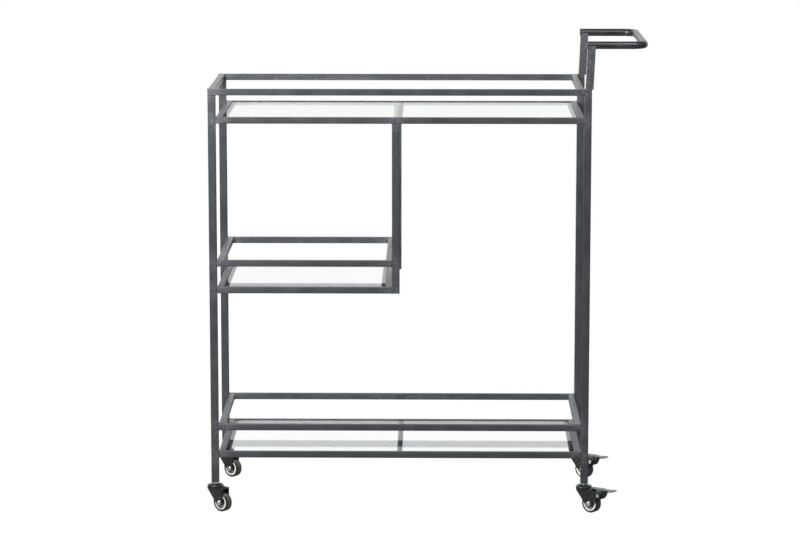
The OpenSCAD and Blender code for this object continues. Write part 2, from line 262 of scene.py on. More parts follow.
# %% Shader group for mottled surfaces
def make_mottle_group():
    group = bpy.data.node_groups.new("mottle", "ShaderNodeTree")
    face = group.interface
    for name, kind in (("Vector", "NodeSocketVector"), ("Tone A", "NodeSocketColor"),
                       ("Tone B", "NodeSocketColor"), ("Patch Scale", "NodeSocketFloat"),
                       ("Grain Scale", "NodeSocketFloat"), ("Grain", "NodeSocketFloat"),
                       ("Rough Low", "NodeSocketFloat"), ("Rough High", "NodeSocketFloat")):
        face.new_socket(name=name, in_out="INPUT", socket_type=kind)
    for name, kind in (("Color", "NodeSocketColor"), ("Roughness", "NodeSocketFloat"),
                       ("Height", "NodeSocketFloat")):
        face.new_socket(name=name, in_out="OUTPUT", socket_type=kind)
    start = group.nodes.new("NodeGroupInput")
    end = group.nodes.new("NodeGroupOutput")
    patch = add_node(group, "ShaderNodeTexNoise", {"Detail": 4.0, "Roughness": 0.6})
    join(group, start.outputs["Vector"], patch.inputs["Vector"])
    join(group, start.outputs["Patch Scale"], patch.inputs["Scale"])
    grain = add_node(group, "ShaderNodeTexNoise", {"Detail": 3.0, "Roughness": 0.65})
    join(group, start.outputs["Vector"], grain.inputs["Vector"])
    join(group, start.outputs["Grain Scale"], grain.inputs["Scale"])
    spread = add_node(group, "ShaderNodeMapRange", {"From Min": 0.3, "From Max": 0.7})
    join(group, patch.outputs["Fac"], spread.inputs["Value"])
    centred = add_node(group, "ShaderNodeMath", {1: 0.5}, operation="SUBTRACT")
    join(group, grain.outputs["Fac"], centred.inputs[0])
    scaled = add_node(group, "ShaderNodeMath", operation="MULTIPLY")
    join(group, centred.outputs[0], scaled.inputs[0])
    join(group, start.outputs["Grain"], scaled.inputs[1])
    factor = add_node(group, "ShaderNodeMath", operation="ADD", use_clamp=True)
    join(group, spread.outputs["Result"], factor.inputs[0])
    join(group, scaled.outputs[0], factor.inputs[1])
    tone = add_node(group, "ShaderNodeMix", data_type="RGBA")
    join(group, factor.outputs[0], tone.inputs["Factor"])
    join(group, start.outputs["Tone A"], tone.inputs[6])
    join(group, start.outputs["Tone B"], tone.inputs[7])
    rough = add_node(group, "ShaderNodeMapRange")
    join(group, factor.outputs[0], rough.inputs["Value"])
    join(group, start.outputs["Rough Low"], rough.inputs["To Min"])
    join(group, start.outputs["Rough High"], rough.inputs["To Max"])
    join(group, tone.outputs[2], end.inputs["Color"])
    join(group, rough.outputs["Result"], end.inputs["Roughness"])
    join(group, grain.outputs["Fac"], end.inputs["Height"])
    return group


MOTTLE = make_mottle_group()


def mottle(tree, vector, tone_a, tone_b, patch, grain_scale, grain, rough):
    """Places the group and gives its three outputs."""
    node = add_node(tree, "ShaderNodeGroup", node_tree=MOTTLE)
    join(tree, vector, node.inputs["Vector"])
    node.inputs["Tone A"].default_value = colour(*tone_a)
    node.inputs["Tone B"].default_value = colour(*tone_b)
    node.inputs["Patch Scale"].default_value = patch
    node.inputs["Grain Scale"].default_value = grain_scale
    node.inputs["Grain"].default_value = grain
    node.inputs["Rough Low"].default_value, node.inputs["Rough High"].default_value = rough
    return node


def object_vector(tree):
    return add_node(tree, "ShaderNodeTexCoord").outputs["Object"]


def bump(tree, height, shader, strength, distance):
    node = add_node(tree, "ShaderNodeBump", {"Strength": strength, "Distance": distance})
    join(tree, height, node.inputs["Height"])
    join(tree, node.outputs["Normal"], shader.inputs["Normal"])


# %% [markdown]
# ## Frame lacquer
# The tubes are brushed by hand and sprayed with a thin dark lacquer. Streaks
# run along each tube, so they are drawn in the tube's own UV map, stretched
# along its length. Near a joint the metal was ground after welding: an
# attribute called weld marks those places, and the tone there turns lighter.

# %% Frame lacquer
def make_frame_lacquer():
    material, tree = new_material("frame_lacquer")
    shader, _ = principled(tree, Metallic=0.0, IOR=1.5, Anisotropic=0.85, Anisotropic_Rotation=0.25)
    grain_way = add_node(tree, "ShaderNodeTangent", direction_type="UV_MAP", uv_map="along")
    join(tree, grain_way.outputs["Tangent"], shader.inputs["Tangent"])
    base = mottle(tree, object_vector(tree), (0.036, 0.039, 0.044), (0.056, 0.059, 0.065),
                  26.0, 700.0, 0.35, (0.36, 0.46))
    uv = add_node(tree, "ShaderNodeUVMap", uv_map="along")
    stretch = add_node(tree, "ShaderNodeMapping", {"Scale": (14.0, 1100.0, 1.0)})
    join(tree, uv.outputs["UV"], stretch.inputs["Vector"])
    streak = add_node(tree, "ShaderNodeTexNoise", {"Scale": 1.0, "Detail": 3.0, "Roughness": 0.6})
    join(tree, stretch.outputs["Vector"], streak.inputs["Vector"])
    lift = add_node(tree, "ShaderNodeMapRange",
                    {"From Min": 0.3, "From Max": 0.75, "To Min": 0.72, "To Max": 1.45})
    join(tree, streak.outputs["Fac"], lift.inputs["Value"])
    streaked = add_node(tree, "ShaderNodeVectorMath", operation="SCALE")
    join(tree, base.outputs["Color"], streaked.inputs[0])
    join(tree, lift.outputs["Result"], streaked.inputs["Scale"])

    mark = add_node(tree, "ShaderNodeAttribute", attribute_name="weld")
    blotch = add_node(tree, "ShaderNodeTexNoise", {"Scale": 240.0, "Detail": 4.0, "Roughness": 0.7})
    join(tree, object_vector(tree), blotch.inputs["Vector"])
    cut = add_node(tree, "ShaderNodeMapRange", {"From Min": 0.42, "From Max": 0.62})
    join(tree, blotch.outputs["Fac"], cut.inputs["Value"])
    ground = add_node(tree, "ShaderNodeMath", operation="MULTIPLY")
    join(tree, mark.outputs["Fac"], ground.inputs[0])
    join(tree, cut.outputs["Result"], ground.inputs[1])
    share = add_node(tree, "ShaderNodeMath", {1: 0.55}, operation="MULTIPLY", use_clamp=True)
    join(tree, ground.outputs[0], share.inputs[0])
    tone = add_node(tree, "ShaderNodeMix", data_type="RGBA")
    tone.inputs[7].default_value = colour(0.17, 0.175, 0.18)
    join(tree, share.outputs[0], tone.inputs["Factor"])
    join(tree, streaked.outputs[0], tone.inputs[6])
    join(tree, tone.outputs[2], shader.inputs["Base Color"])
    join(tree, base.outputs["Roughness"], shader.inputs["Roughness"])
    bump(tree, streak.outputs["Fac"], shader, 0.25, 0.00012)
    return material


FRAME_LACQUER = make_frame_lacquer()
print("made", FRAME_LACQUER.name)

# %% [markdown]
# ## The other finishes
# Each is one function with its own tones, because the pieces differ in more
# than colour: lacquer on the handle is glossier, zinc is a true metal, rubber
# is dull and dusty on its tread, and the fork's black paint has a thin clear coat.


# %% Handle, zinc, black steel, pedal, plastics and rubber
def make_plain_finish(name, tone_a, tone_b, patch, grain_scale, grain, rough,
                      bump_strength=0.15, bump_size=0.0002, **values):
    material, tree = new_material(name)
    shader, _ = principled(tree, **values)
    base = mottle(tree, object_vector(tree), tone_a, tone_b, patch, grain_scale, grain, rough)
    join(tree, base.outputs["Color"], shader.inputs["Base Color"])
    join(tree, base.outputs["Roughness"], shader.inputs["Roughness"])
    bump(tree, base.outputs["Height"], shader, bump_strength, bump_size)
    return material


HANDLE_LACQUER = make_plain_finish(
    "handle_lacquer", (0.010, 0.010, 0.012), (0.030, 0.031, 0.035), 45.0, 420.0, 0.5,
    (0.30, 0.40), 0.12, 0.0003, Coat_Weight=0.3, Coat_Roughness=0.25)
ZINC = make_plain_finish(
    "zinc_plate", (0.66, 0.70, 0.74), (0.82, 0.84, 0.86), 220.0, 2600.0, 0.4,
    (0.20, 0.34), 0.1, 0.0001, Metallic=1.0)
BLACK_STEEL = make_plain_finish(
    "black_steel", (0.006, 0.006, 0.007), (0.018, 0.018, 0.019), 130.0, 1500.0, 0.5,
    (0.18, 0.30), 0.2, 0.00015, Coat_Weight=0.2, Coat_Roughness=0.2)
PEDAL_STEEL = make_plain_finish(
    "pedal_steel", (0.10, 0.105, 0.11), (0.20, 0.205, 0.21), 160.0, 1800.0, 0.6,
    (0.30, 0.45), 0.2, 0.0002, Metallic=0.55)
BLACK_PLASTIC = make_plain_finish(
    "black_plastic", (0.007, 0.007, 0.007), (0.013, 0.013, 0.013), 150.0, 2200.0, 0.5,
    (0.42, 0.55), 0.2, 0.0001)
HUB_PLASTIC = make_plain_finish(
    "hub_plastic", (0.84, 0.82, 0.77), (0.93, 0.92, 0.88), 90.0, 1700.0, 0.4,
    (0.35, 0.5), 0.15, 0.0001, Subsurface_Weight=0.05)
TYRE_RUBBER = make_plain_finish(
    "tyre_rubber", (0.006, 0.006, 0.006), (0.014, 0.014, 0.013), 110.0, 1900.0, 0.6,
    (0.22, 0.36), 0.3, 0.0002)
TYRE_TREAD = make_plain_finish(
    "tyre_tread", (0.035, 0.034, 0.030), (0.080, 0.076, 0.068), 160.0, 2100.0, 0.8,
    (0.45, 0.6), 0.35, 0.0002)
print("finishes ready:", len(bpy.data.materials))

# %% [markdown]
# ## Glass
# Real glass is a solid that bends light, so each pane is a closed slab with
# a fully transmitting shader. Rays from the lamps pass straight through it, or
# the shelves below would stand in a false shadow. The ground edge of the pane
# gathers the glass's green, so it gets a tone of its own.


# %% Glass materials
def make_glass(name, tone_a, tone_b, rough):
    material, tree = new_material(name)
    shader, out = principled(tree, IOR=1.5, Transmission_Weight=1.0)
    base = mottle(tree, object_vector(tree), tone_a, tone_b, 7.0, 900.0, 0.1, rough)
    join(tree, base.outputs["Color"], shader.inputs["Base Color"])
    join(tree, base.outputs["Roughness"], shader.inputs["Roughness"])
    clear = add_node(tree, "ShaderNodeBsdfTransparent", {"Color": colour(0.94, 0.97, 0.96)})
    path = add_node(tree, "ShaderNodeLightPath")
    mix = add_node(tree, "ShaderNodeMixShader")
    join(tree, path.outputs["Is Shadow Ray"], mix.inputs[0])
    join(tree, shader.outputs["BSDF"], mix.inputs[1])
    join(tree, clear.outputs["BSDF"], mix.inputs[2])
    join(tree, mix.outputs[0], out.inputs["Surface"])
    return material


PANE_GLASS = make_glass("pane_glass", (0.925, 0.95, 0.945), (0.945, 0.965, 0.96), (0.0, 0.02))
EDGE_GLASS = make_glass("edge_glass", (0.16, 0.30, 0.26), (0.26, 0.42, 0.37), (0.12, 0.25))

# %% [markdown]
# ## Turning numbers into pieces
# Every piece is a mesh in the cart's own coordinates, with its object left at
# the origin.

# %% Helper that makes a piece
SMOOTH_ANGLE = math.radians(35)


def finish_mesh(mesh, materials):
    for material in materials:
        mesh.materials.append(material)
    mesh.polygons.foreach_set("use_smooth", [True] * len(mesh.polygons))
    mesh.set_sharp_from_angle(angle=SMOOTH_ANGLE)


def make_piece(name, mesh, body, materials, stands_for=()):
    finish_mesh(mesh, materials)
    piece = bpy.data.objects.new(name, mesh)
    bpy.context.scene.collection.objects.link(piece)
    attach(piece, body)
    if stands_for:
        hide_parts(*stands_for)
    return piece


def body_of_node(node):
    return frame["nodes"][node]["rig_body"]


# %% [markdown]
# ## Where the joints are
# A rail is welded wherever its end meets another tube. The ends come from the
# rails' own boxes, and the list marks the ground metal near each joint, on the
# tubes and on the beads alike.

# %% Rails, posts and joints from the CAD boxes
POSTS = [n for n in frame["nodes"] if n.startswith(("post_f", "post_b", "hanger_"))]
LONG_RAILS = [n for n in frame["nodes"]
              if n.split("_")[1] in ("guard", "shelf") and n.endswith(("_front", "_back"))]
SIDE_RAILS = [n for n in frame["nodes"] if n.endswith("_sides")]


def tube_boxes(node):
    """One box for each tube of a node: a pair of side rails is two tubes."""
    low, high = (np.array(corner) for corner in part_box(node))
    if not node.endswith("_sides"):
        return [(low, high)]
    side = high[2] - low[2]
    left_high, right_low = high.copy(), low.copy()
    left_high[0] = low[0] + side
    right_low[0] = high[0] - side
    return [(low, left_high), (right_low, high)]


def tube_axis(low, high):
    return int(np.argmax(high - low))


WELDED = []
for rail in LONG_RAILS + SIDE_RAILS:
    for low, high in tube_boxes(rail):
        axis = tube_axis(low, high)
        for end in (low, high):
            place = (low + high) / 2
            place[axis] = end[axis]
            WELDED.append(place)
for upright in ("handle_upright_front", "handle_upright_back"):
    low, high = (np.array(corner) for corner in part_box(upright))
    for level in (low[2], high[2]):
        WELDED.append(np.array([*((low + high) / 2)[:2], level]))
for hanger in ("hanger_front", "hanger_back"):
    low, high = (np.array(corner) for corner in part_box(hanger))
    WELDED.append(np.array([*((low + high) / 2)[:2], high[2]]))
WELDED = np.array(WELDED)
WELD_NEAR, WELD_FAR = 9 * MM, 34 * MM
print("welded joints:", len(WELDED))


def mark_welds(mesh):
    """Writes the attribute weld: 1 at a joint, 0 from WELD_FAR on."""
    points = np.zeros(len(mesh.vertices) * 3)
    mesh.vertices.foreach_get("co", points)
    gaps = np.linalg.norm(points.reshape(-1, 1, 3) - WELDED[None], axis=2).min(axis=1)
    fade = np.clip((WELD_FAR - gaps) / (WELD_FAR - WELD_NEAR), 0, 1)
    layer = mesh.attributes.new("weld", "FLOAT", "POINT")
    layer.data.foreach_set("value", (fade * fade * (3 - 2 * fade)).astype(np.float32))


# %% [markdown]
# ## Square tube
# A square tube has small round corners, and those corners catch the light as
# the thin bright and dark lines along each rail. A plain box has none, so the
# tube is swept from a rounded square: rings of points along its length, joined
# by quads. The same loop writes the UV map that the streaks follow.

# %% Square tubes
CORNER_R = 1.5 * MM
CORNER_STEPS = 4
WALL = 1.2 * MM
RING_STEP = 11 * MM


def rounded_square(side, radius, steps):
    """Points round a square of that side, centred, counter-clockwise."""
    points = []
    for quarter in range(4):
        turn = quarter * math.pi / 2
        centre = side / 2 - radius
        for step in range(steps + 1):
            angle = step / steps * math.pi / 2
            x, y = centre + radius * math.cos(angle), centre + radius * math.sin(angle)
            points.append((x * math.cos(turn) - y * math.sin(turn),
                           x * math.sin(turn) + y * math.cos(turn)))
    return points


def sweep_tube(mesh_name, tubes):
    """One mesh from tubes given as (start, end, side): open square tubes."""
    points, faces, uvs = [], [], []
    for start, end, side in tubes:
        run = np.array(end) - np.array(start)
        length = float(np.linalg.norm(run))
        axis = int(np.argmax(np.abs(run)))
        across, up = (axis + 1) % 3, (axis + 2) % 3
        outer = rounded_square(side, CORNER_R, CORNER_STEPS)
        inner = rounded_square(side - 2 * WALL, CORNER_R - WALL, CORNER_STEPS)
        count = len(outer)
        perimeter = np.cumsum([0] + [math.dist(outer[i], outer[(i + 1) % count])
                                     for i in range(count)])
        rings = max(2, int(length / RING_STEP))
        first = len(points)
        for outline, shares in ((outer, np.linspace(0, 1, rings + 1)), (inner, (0.0, 1.0))):
            for share in shares:
                for a, b in outline:
                    point = np.array(start) + run * share
                    point[across] += a
                    point[up] += b
                    points.append(tuple(point))
        hollow = first + (rings + 1) * count
        for ring in range(rings):
            for i in range(count):
                j = (i + 1) % count
                low, high = first + ring * count, first + (ring + 1) * count
                faces.append((low + i, low + j, high + j, high + i))
                u0, u1 = ring * length / rings, (ring + 1) * length / rings
                uvs += [(u0, perimeter[i]), (u0, perimeter[i + 1]),
                        (u1, perimeter[i + 1]), (u1, perimeter[i])]
        last = first + rings * count
        for i in range(count):
            j = (i + 1) % count
            faces.append((hollow + i, hollow + count + i, hollow + count + j, hollow + j))
            faces.append((first + j, first + i, hollow + i, hollow + j))
            faces.append((last + i, last + j, hollow + count + j, hollow + count + i))
            uvs += [(0, 0), (length, 0), (length, 0.001), (0, 0.001)]
            uvs += [(0, 0.001), (0, 0), (0.001, 0), (0.001, 0.001)] * 2
    mesh = bpy.data.meshes.new(mesh_name)
    mesh.from_pydata(points, [], faces)
    layer = mesh.uv_layers.new(name="along")
    layer.data.foreach_set("uv", np.array(uvs, dtype=np.float32).ravel())
    mark_welds(mesh)
    return mesh


def tube_line(low, high):
    """The middle line of a tube's box, as start, end and side."""
    axis = tube_axis(low, high)
    start, end = (low + high) / 2, (low + high) / 2
    start[axis], end[axis] = low[axis], high[axis]
    return start, end, float(np.min(high - low))


for node in POSTS + LONG_RAILS + SIDE_RAILS:
    mesh = sweep_tube(node, [tube_line(low, high) for low, high in tube_boxes(node)])
    make_piece("tube_" + node, mesh, body_of_node(node), [FRAME_LACQUER], [node])
print("square tubes:", len(POSTS + LONG_RAILS + SIDE_RAILS))

# %% [markdown]
# ## Softening a CAD solid
# Folded steel, flat bar and moulded pieces already have their true shape in
# CAD. A copy is merged, its flat faces are joined, and its sharp edges get
# a small bevel, which is what makes an edge catch light.


# %% Helper that softens a CAD node
def softened(node, width, segments=2, angle=30):
    """A mesh copied from a CAD node with its sharp edges rounded."""
    shape = bmesh.new()
    shape.from_mesh(frame["nodes"][node].data)
    bmesh.ops.remove_doubles(shape, verts=shape.verts, dist=1e-6)
    bmesh.ops.dissolve_limit(shape, angle_limit=math.radians(1.0), verts=shape.verts,
                             edges=shape.edges)
    sharp = [e for e in shape.edges
             if len(e.link_faces) == 2 and e.calc_face_angle() > math.radians(angle)]
    bmesh.ops.bevel(shape, geom=sharp, offset=width, offset_type="OFFSET", segments=segments,
                    profile=0.5, affect="EDGES", clamp_overlap=True)
    bmesh.ops.triangulate(shape, faces=[f for f in shape.faces if len(f.verts) > 4])
    low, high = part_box(node)
    for vert in shape.verts:
        vert.co = Vector(max(a, min(b, v)) for a, b, v in zip(low, high, vert.co))
    mesh = bpy.data.meshes.new(node)
    shape.to_mesh(mesh)
    shape.free()
    while mesh.materials:
        mesh.materials.pop()
    return mesh


# %% Ledges and bars under the glass
for node in ("top_shelf_ledges", "half_shelf_ledges", "bottom_shelf_ledges",
             "top_shelf_bar", "bottom_shelf_bar"):
    mesh = softened(node, 0.35 * MM)
    mark_welds(mesh)
    mesh.uv_layers.new(name="along")
    make_piece("flat_" + node, mesh, "frame", [FRAME_LACQUER], [node])

# %% [markdown]
# ## Glass panes
# The pane's long thin edge is ground to a small chamfer. The faces whose
# normals lie level are the edge, and take the greener glass.


# %% Glass panes
def glass_pane(node):
    mesh = softened(node, 0.6 * MM, segments=1)
    piece = make_piece("pane_" + node, mesh, "frame", [PANE_GLASS, EDGE_GLASS],
                       [node])
    for face in mesh.polygons:
        face.material_index = 0 if abs(face.normal.z) > 0.3 else 1
        face.use_smooth = False
    return piece


for node in ("top_glass", "half_glass", "bottom_glass"):
    glass_pane(node)
print("panes made")

# %% [markdown]
# ## Handle bar
# One round tube is bent to a U. In Geometry Nodes a polyline with four corners
# is filleted and swept with a circle, so the bend radius and the tube size stay
# two numbers. The result is turned into a plain mesh afterwards.

# %% Geometry Nodes: a bent round tube
GROUP_KINDS = {"Geometry": "NodeSocketGeometry", "float": "NodeSocketFloat",
               "int": "NodeSocketInt", "material": "NodeSocketMaterial"}


def new_geometry_tree(name, inputs):
    """A Geometry Nodes tree with named inputs; gives tree, start and end."""
    tree = bpy.data.node_groups.new(name, "GeometryNodeTree")
    tree.interface.new_socket(name="Geometry", in_out="INPUT", socket_type="NodeSocketGeometry")
    for socket, kind in inputs.items():
        tree.interface.new_socket(name=socket, in_out="INPUT", socket_type=GROUP_KINDS[kind])
    tree.interface.new_socket(name="Geometry", in_out="OUTPUT", socket_type="NodeSocketGeometry")
    return tree, tree.nodes.new("NodeGroupInput"), tree.nodes.new("NodeGroupOutput")


def run_tree(name, source, tree, values):
    """Evaluates a tree on an object and gives the result as a plain mesh."""
    modifier = source.modifiers.new(name, "NODES")
    modifier.node_group = tree
    ids = {item.name: item.identifier for item in tree.interface.items_tree
           if item.item_type == "SOCKET" and item.in_out == "INPUT"}
    for socket, value in values.items():
        modifier[ids[socket]] = value
    bpy.context.scene.collection.objects.link(source)
    bpy.context.view_layer.update()
    evaluated = source.evaluated_get(bpy.context.evaluated_depsgraph_get())
    mesh = bpy.data.meshes.new_from_object(evaluated)
    mesh.name = name
    bpy.data.objects.remove(source)
    return mesh


def make_bent_tube_tree():
    tree, start, end = new_geometry_tree("bent_tube", {
        "Radius": "float", "Bend Radius": "float", "Bend Steps": "int", "Sides": "int",
        "Finish": "material"})
    fillet = add_node(tree, "GeometryNodeFilletCurve", mode="POLY")
    join(tree, start.outputs["Geometry"], fillet.inputs["Curve"])
    join(tree, start.outputs["Bend Radius"], fillet.inputs["Radius"])
    join(tree, start.outputs["Bend Steps"], fillet.inputs["Count"])
    circle = add_node(tree, "GeometryNodeCurvePrimitiveCircle", mode="RADIUS")
    join(tree, start.outputs["Radius"], circle.inputs["Radius"])
    join(tree, start.outputs["Sides"], circle.inputs["Resolution"])
    sweep = add_node(tree, "GeometryNodeCurveToMesh", {"Fill Caps": True})
    join(tree, fillet.outputs["Curve"], sweep.inputs["Curve"])
    join(tree, circle.outputs["Curve"], sweep.inputs["Profile Curve"])
    paint = add_node(tree, "GeometryNodeSetMaterial")
    join(tree, sweep.outputs["Mesh"], paint.inputs["Geometry"])
    join(tree, start.outputs["Finish"], paint.inputs["Material"])
    real = add_node(tree, "GeometryNodeRealizeInstances")
    join(tree, paint.outputs["Geometry"], real.inputs["Geometry"])
    join(tree, real.outputs["Geometry"], end.inputs["Geometry"])
    return tree


BENT_TUBE = make_bent_tube_tree()
HANDLE_LOW, HANDLE_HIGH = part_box("handle_bar")
HANDLE_R = (HANDLE_HIGH.z - HANDLE_LOW.z) / 2
HANDLE_BEND = 28 * MM


def make_handle():
    z = HANDLE_HIGH.z - HANDLE_R
    front, back = HANDLE_LOW.y + HANDLE_R, HANDLE_HIGH.y - HANDLE_R
    end_x, bar_x = HANDLE_LOW.x, HANDLE_HIGH.x - HANDLE_R
    corners = [(end_x, front, z), (bar_x, front, z), (bar_x, back, z), (end_x, back, z)]
    data = bpy.data.curves.new("handle_path", "CURVE")
    data.dimensions = "3D"
    line = data.splines.new("POLY")
    line.points.add(len(corners) - 1)
    for point, corner in zip(line.points, corners):
        point.co = (*corner, 1)
    source = bpy.data.objects.new("handle_path", data)
    mesh = run_tree("handle_bar_tube", source, BENT_TUBE, {
        "Radius": HANDLE_R, "Bend Radius": HANDLE_BEND, "Bend Steps": 16, "Sides": 48,
        "Finish": HANDLE_LACQUER})
    while mesh.materials:
        mesh.materials.pop()
    make_piece("handle_bar_tube", mesh, "frame", [HANDLE_LACQUER], ["handle_bar"])
    print("handle faces:", len(mesh.polygons))


make_handle()

# %% [markdown]
# ## Handle uprights
# Each upright is a square tube that leans out a little and is coped to fit the
# round bar. Its CAD shape is right, so it is only softened.

# %% Handle uprights
for node in ("handle_upright_front", "handle_upright_back"):
    mesh = softened(node, 0.5 * MM, segments=2, angle=40)
    mark_welds(mesh)
    mesh.uv_layers.new(name="along")
    make_piece("tube_" + node, mesh, "frame", [FRAME_LACQUER], [node])

# %% [markdown]
# ## Weld beads
# A bead is a row of small overlapping ripples along a seam. Geometry Nodes
# resamples each seam to even steps and sets one squashed ball at every step,
# turned and sized at random from a fixed seed. Seams that were ground flush get
# no bead: only the inner corners keep theirs.

# %% Seams that keep their bead
def seam_lines():
    """Lists of points, one list for each bead, in the cart's coordinates."""
    lines = []
    for node in LONG_RAILS:
        low, high = (np.array(c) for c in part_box(node))
        inside = high[1] if node.endswith("_front") else low[1]
        outside = low[1] if node.endswith("_front") else high[1]
        near = outside + (inside - outside) * 0.25
        for x in (low[0], high[0]):
            if node.startswith("top_guard") and x == low[0]:
                continue
            lines.append([(x, near, high[2]), (x, inside, high[2]), (x, inside, low[2]),
                          (x, near, low[2])])
    for node in SIDE_RAILS:
        for low, high in tube_boxes(node):
            for y in (low[1], high[1]):
                for x in (low[0], high[0]):
                    lines.append([(x, y, low[2] + 1 * MM), (x, y, high[2] - 1 * MM)])
    for node in ("hanger_front", "hanger_back"):
        low, high = (np.array(c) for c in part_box(node))
        for x in (low[0], high[0]):
            lines.append([(x, low[1] + 2 * MM, high[2]), (x, high[1] - 4 * MM, high[2])])
    return lines


def make_bead_tree():
    tree, start, end = new_geometry_tree("weld_beads", {
        "Spacing": "float", "Size": "float", "Seed": "int", "Finish": "material"})
    lines = add_node(tree, "GeometryNodeMeshToCurve")
    join(tree, start.outputs["Geometry"], lines.inputs["Mesh"])
    even = add_node(tree, "GeometryNodeResampleCurve")
    if "Mode" in even.inputs:
        even.inputs["Mode"].default_value = "Length"
    else:
        even.mode = "LENGTH"
    join(tree, lines.outputs["Curve"], even.inputs["Curve"])
    join(tree, start.outputs["Spacing"], even.inputs["Length"])
    ball = add_node(tree, "GeometryNodeMeshUVSphere", {"Segments": 8, "Rings": 5, "Radius": 1.0})
    scale = add_node(tree, "FunctionNodeRandomValue", data_type="FLOAT_VECTOR")
    scale.inputs[0].default_value = (0.8, 0.8, 0.8)
    scale.inputs[1].default_value = (1.25, 1.25, 1.25)
    join(tree, start.outputs["Seed"], scale.inputs["Seed"])
    sized = add_node(tree, "ShaderNodeVectorMath", operation="SCALE")
    join(tree, scale.outputs[0], sized.inputs[0])
    join(tree, start.outputs["Size"], sized.inputs["Scale"])
    turn = add_node(tree, "FunctionNodeRandomValue", data_type="FLOAT_VECTOR")
    turn.inputs[1].default_value = (6.28, 6.28, 6.28)
    join(tree, start.outputs["Seed"], turn.inputs["Seed"])
    place = add_node(tree, "GeometryNodeInstanceOnPoints")
    join(tree, even.outputs["Curve"], place.inputs["Points"])
    join(tree, ball.outputs["Mesh"], place.inputs["Instance"])
    join(tree, turn.outputs[0], place.inputs["Rotation"])
    join(tree, sized.outputs[0], place.inputs["Scale"])
    real = add_node(tree, "GeometryNodeRealizeInstances")
    join(tree, place.outputs["Instances"], real.inputs["Geometry"])
    paint = add_node(tree, "GeometryNodeSetMaterial")
    join(tree, real.outputs["Geometry"], paint.inputs["Geometry"])
    join(tree, start.outputs["Finish"], paint.inputs["Material"])
    join(tree, paint.outputs["Geometry"], end.inputs["Geometry"])
    return tree


BEADS = make_bead_tree()


def bead_mesh(name, lines, spacing, size, seed, finish):
    points, edges = [], []
    for line in lines:
        for i, point in enumerate(line):
            if i:
                edges.append((len(points) - 1, len(points)))
            points.append(tuple(float(v) for v in point))
    mesh = bpy.data.meshes.new(name + "_seams")
    mesh.from_pydata(points, edges, [])
    source = bpy.data.objects.new(name + "_seams", mesh)
    beads = run_tree(name, source, BEADS, {
        "Spacing": spacing, "Size": size, "Seed": seed, "Finish": finish})
    while beads.materials:
        beads.materials.pop()
    return beads


def make_beads():
    lines = seam_lines()
    mesh = bead_mesh("weld_beads", lines, 1.7 * MM, 1.15 * MM, 7, FRAME_LACQUER)
    mark_welds(mesh)
    for layer in list(mesh.uv_layers):
        mesh.uv_layers.remove(layer)
    mesh.uv_layers.new(name="along")
    make_piece("weld_beads", mesh, "frame", [FRAME_LACQUER])
    print("seams:", len(lines), "bead faces:", len(mesh.polygons))


make_beads()

# %% [markdown]
# ## Casters: a frame of their own
# The four casters are the same assembly turned about four posts. The record's
# joints give each swivel axis, axle and pivot, so the parts are drawn once in
# the caster's own coordinates, x along its trail and y along its axle, and
# a matrix sets them in place.

# %% Caster places from the joints
JOINT = {j["name"]: j for j in frame["joints"]}
CASTERS = ["front_left", "back_left", "front_right", "back_right"]


def caster_matrix(where):
    """From the caster's coordinates, on the floor under its swivel, to the cart's."""
    swivel, roll = JOINT["swivel_" + where], JOINT["roll_" + where]
    origin = Vector((swivel["pos_m"][0], swivel["pos_m"][1], 0))
    axle = Vector(roll["axis"]).normalized()
    trail = axle.cross(Vector((0, 0, 1))).normalized()
    turn = Matrix((trail, axle, Vector((0, 0, 1)))).transposed().to_4x4()
    return Matrix.Translation(origin) @ turn


def caster_point(where, joint):
    return caster_matrix(where).inverted() @ Vector(JOINT[joint]["pos_m"])


AXLE_POINT = caster_point("front_left", "roll_front_left")
PIVOT_POINT = caster_point("front_right", "brake_front_right")
print("trail and axle height in mm:", [round(v / MM, 2) for v in AXLE_POINT])
print("brake pivot in mm:", [round(v / MM, 2) for v in PIVOT_POINT])

# %% [markdown]
# ## Turned pieces
# Wheels, caps, stems and rivets are bodies of revolution. A profile of radius
# and height is spun round an axis, and corners in the profile are rounded by
# replacing each with a few points, because no moulded or pressed edge is sharp.

# %% Helper that turns a profile
TURN_SIDES = 64


def rounded_outline(points, steps=4):
    """A closed outline whose corners (r, h, radius) are rounded."""
    outline = []
    count = len(points)
    for i, (r, h, radius) in enumerate(points):
        here = Vector((r, h))
        if radius <= 0:
            outline.append(tuple(here))
            continue
        before, after = Vector(points[i - 1][:2]), Vector(points[(i + 1) % count][:2])
        into, away = (before - here), (after - here)
        reach = min(radius, into.length * 0.45, away.length * 0.45)
        one, two = here + into.normalized() * reach, here + away.normalized() * reach
        for step in range(steps + 1):
            t = step / steps
            outline.append(tuple(one * (1 - t) ** 2 + here * 2 * t * (1 - t) + two * t * t))
    return outline


def turned(name, outline, matrix, sides=TURN_SIDES):
    """Spins a closed outline of (radius, height) round matrix's z axis."""
    points, faces = [], []
    for side in range(sides):
        angle = side / sides * 2 * math.pi
        for r, h in outline:
            points.append(matrix @ Vector((r * math.cos(angle), r * math.sin(angle), h)))
    count = len(outline)
    for side in range(sides):
        here, there = side * count, (side + 1) % sides * count
        for i in range(count):
            j = (i + 1) % count
            faces.append((here + i, here + j, there + j, there + i))
    mesh = bpy.data.meshes.new(name)
    mesh.from_pydata(points, [], faces)
    shape = bmesh.new()
    shape.from_mesh(mesh)
    bmesh.ops.remove_doubles(shape, verts=shape.verts, dist=1e-6)
    bmesh.ops.recalc_face_normals(shape, faces=shape.faces)
    shape.to_mesh(mesh)
    shape.free()
    return mesh


